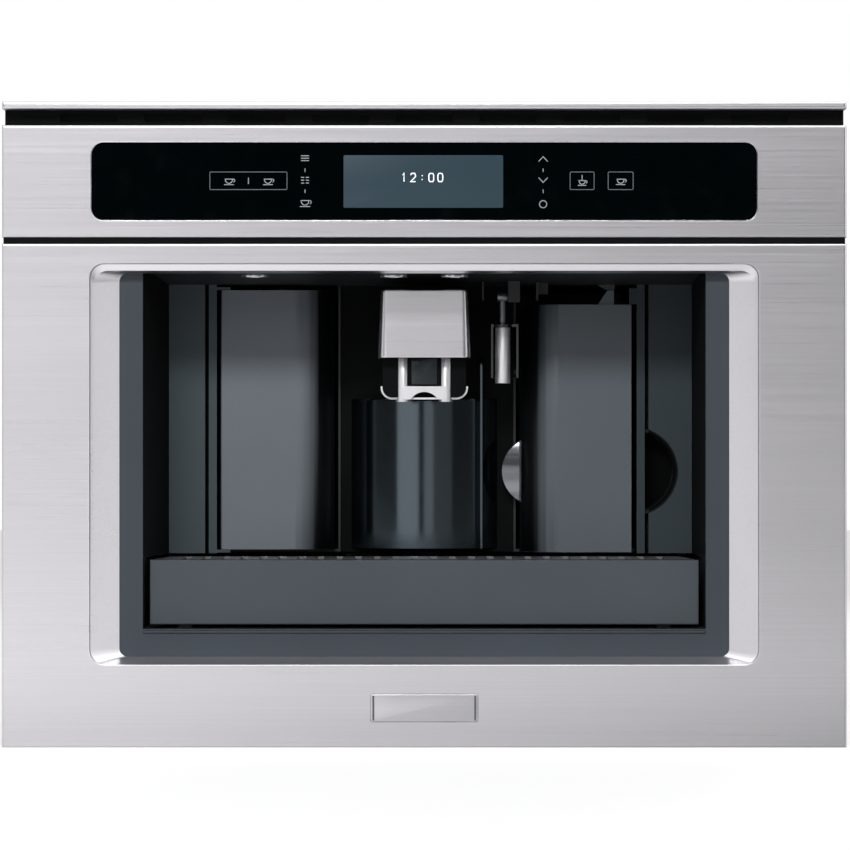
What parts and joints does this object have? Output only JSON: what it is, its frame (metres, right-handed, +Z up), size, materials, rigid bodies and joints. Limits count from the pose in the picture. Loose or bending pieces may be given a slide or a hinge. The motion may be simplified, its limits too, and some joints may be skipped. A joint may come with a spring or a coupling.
{
  "type": "built-in coffee machine",
  "caption": "Compact built-in bean-to-cup coffee machine: steel front with sloping window, cup niche, dispenser, steam wand, service door, water tank and drip tray, on pull-out runners.",
  "frame": {"origin": "bottom centre of the whole machine's box: on the lower edge of the steel front", "axes": "+X right seen from the front, +Y to the rear, +Z up"},
  "size_m": [0.595, 0.398, 0.455],
  "materials": {
    "brushed_steel": "brushed, satin",
    "black_glass": "polished",
    "grey_plastic": "satin moulded",
    "black_plastic": "moulded",
    "black_gloss": "high gloss",
    "clear_plastic": "clear",
    "lamp_lens": "clear lens",
    "chrome": "polished",
    "zinc_sheet": "zinc coated",
    "zinc_rail": "zinc plated",
    "cast_aluminium": "as cast",
    "circuit": "lacquered",
    "red_plastic": "moulded",
    "rubber": "matt",
    "hose": "translucent silicone"
  },
  "bodies": {
    "cabinet_runners": {"cabinet_rails": "zinc_rail"},
    "machine": {"front_frame": "brushed_steel", "control_fascia": "brushed_steel", "touch_glass": "black_glass", "display_board": "circuit", "top_trim": "brushed_steel", "fascia_carrier": "black_plastic", "cabinet_seals": "rubber", "badge_plate": "brushed_steel", "niche_frame": "grey_plastic", "niche_wall_left": "grey_plastic", "niche_wall_right": "grey_plastic", "niche_ceiling": "black_plastic", "lamps": "lamp_lens", "niche_back": "black_gloss", "centre_column": "black_gloss", "infuser_bay": "black_plastic", "tank_bay": "black_plastic", "tray_deck": "black_plastic", "base_pan": "zinc_sheet", "side_panels": "zinc_sheet", "rear_panel": "zinc_sheet", "top_cover": "zinc_sheet", "chassis_shelf": "zinc_sheet", "machine_rails": "zinc_rail", "brew_frame": "grey_plastic", "upper_piston": "black_plastic", "grinder_body": "black_plastic", "grinder_motor": "zinc_rail", "bean_hopper": "clear_plastic", "powder_filler": "black_plastic", "thermoblock": "cast_aluminium", "water_pump": "black_plastic", "power_board": "circuit", "water_hoses": "hose", "power_inlet": "black_plastic", "rear_buffers": "rubber"},
    "middle_runners": {"middle_rails": "zinc_rail"},
    "service_door": {"service_door": "grey_plastic"},
    "water_tank": {"tank_front": "grey_plastic", "tank_body": "clear_plastic"},
    "tank_lid": {"tank_lid": "clear_plastic"},
    "drip_tray": {"tray_front": "grey_plastic", "tray_basin": "black_plastic", "grounds_box": "black_plastic"},
    "cup_grid": {"cup_grid": "brushed_steel"},
    "level_float": {"tray_float": "red_plastic"},
    "dispenser": {"dispenser_cover": "brushed_steel", "dispenser_body": "black_gloss", "coffee_spouts": "chrome"},
    "wand": {"wand_tube": "chrome", "wand_sleeve": "chrome", "wand_guard": "black_gloss"},
    "brew_chamber": {"brew_chamber": "black_plastic"},
    "drive_spindle": {"drive_spindle": "zinc_rail"},
    "bean_lid": {"bean_lid": "black_plastic"},
    "powder_lid": {"powder_lid": "black_plastic"},
    "grind_knob": {"grind_knob": "black_plastic"},
    "grinder_burr": {"burr_cone": "zinc_rail"},
    "mains_switch": {"switch_rocker": "red_plastic"}
  },
  "joints": [
    {"name": "machine_pullout", "type": "slide", "parent": "cabinet_runners", "child": "machine", "axis": [0, -1, 0], "range_m": [0, 0.34]},
    {"name": "runner_travel", "type": "slide", "parent": "cabinet_runners", "child": "middle_runners", "axis": [0, -1, 0], "range_m": [0, 0.17]},
    {"name": "door_swing", "type": "hinge", "parent": "machine", "child": "service_door", "pos_m": [-0.1455, -0.0852, 0.231], "axis": [0, 0, -1], "range_deg": [0, 95]},
    {"name": "tank_slide", "type": "slide", "parent": "machine", "child": "water_tank", "axis": [0, -1, 0], "range_m": [0, 0.25]},
    {"name": "tank_lid_lift", "type": "slide", "parent": "water_tank", "child": "tank_lid", "axis": [0, 0, 1], "range_m": [0, 0.02]},
    {"name": "tray_slide", "type": "slide", "parent": "machine", "child": "drip_tray", "axis": [0, -1, 0], "range_m": [0, 0.25]},
    {"name": "grid_lift", "type": "slide", "parent": "drip_tray", "child": "cup_grid", "axis": [0, 0, 1], "range_m": [0, 0.06]},
    {"name": "float_rise", "type": "slide", "parent": "drip_tray", "child": "level_float", "axis": [0, 0, 1], "range_m": [0, 0.006]},
    {"name": "dispenser_height", "type": "slide", "parent": "machine", "child": "dispenser", "axis": [0, 0, -1], "range_m": [0, 0.04]},
    {"name": "wand_swing", "type": "hinge", "parent": "machine", "child": "wand", "pos_m": [0.0568, -0.1102, 0.3203], "axis": [-1, 0, 0], "range_deg": [0, 40]},
    {"name": "chamber_lift", "type": "slide", "parent": "machine", "child": "brew_chamber", "axis": [0, 0, 1], "range_m": [0, 0.028]},
    {"name": "spindle_turn", "type": "hinge", "parent": "machine", "child": "drive_spindle", "pos_m": [-0.1078, 0.0388, 0.216], "axis": [0, 0, 1], "range_deg": [0, 1261]},
    {"name": "bean_lid_swing", "type": "hinge", "parent": "machine", "child": "bean_lid", "pos_m": [0.02, 0.1448, 0.443], "axis": [-1, 0, 0], "range_deg": [0, 95]},
    {"name": "powder_lid_lift", "type": "slide", "parent": "machine", "child": "powder_lid", "axis": [0, 0, 1], "range_m": [0, 0.03]},
    {"name": "grind_setting", "type": "hinge", "parent": "machine", "child": "grind_knob", "pos_m": [0.02, -0.0512, 0.445], "axis": [0, 0, 1], "range_deg": [0, 270]},
    {"name": "burr_spin", "type": "hinge", "parent": "machine", "child": "grinder_burr", "pos_m": [0.02, 0.0568, 0.358], "axis": [0, 0, 1], "continuous": true},
    {"name": "switch_rock", "type": "hinge", "parent": "machine", "child": "mains_switch", "pos_m": [-0.152, 0.1915, 0.044], "axis": [1, 0, 0], "range_deg": [0, 16]}
  ],
  "couplings": [
    {"joint": "runner_travel", "follows": "machine_pullout", "ratio": 0.5},
    {"joint": "spindle_turn", "follows": "chamber_lift", "rad_per_m": 785.4}
  ]
}
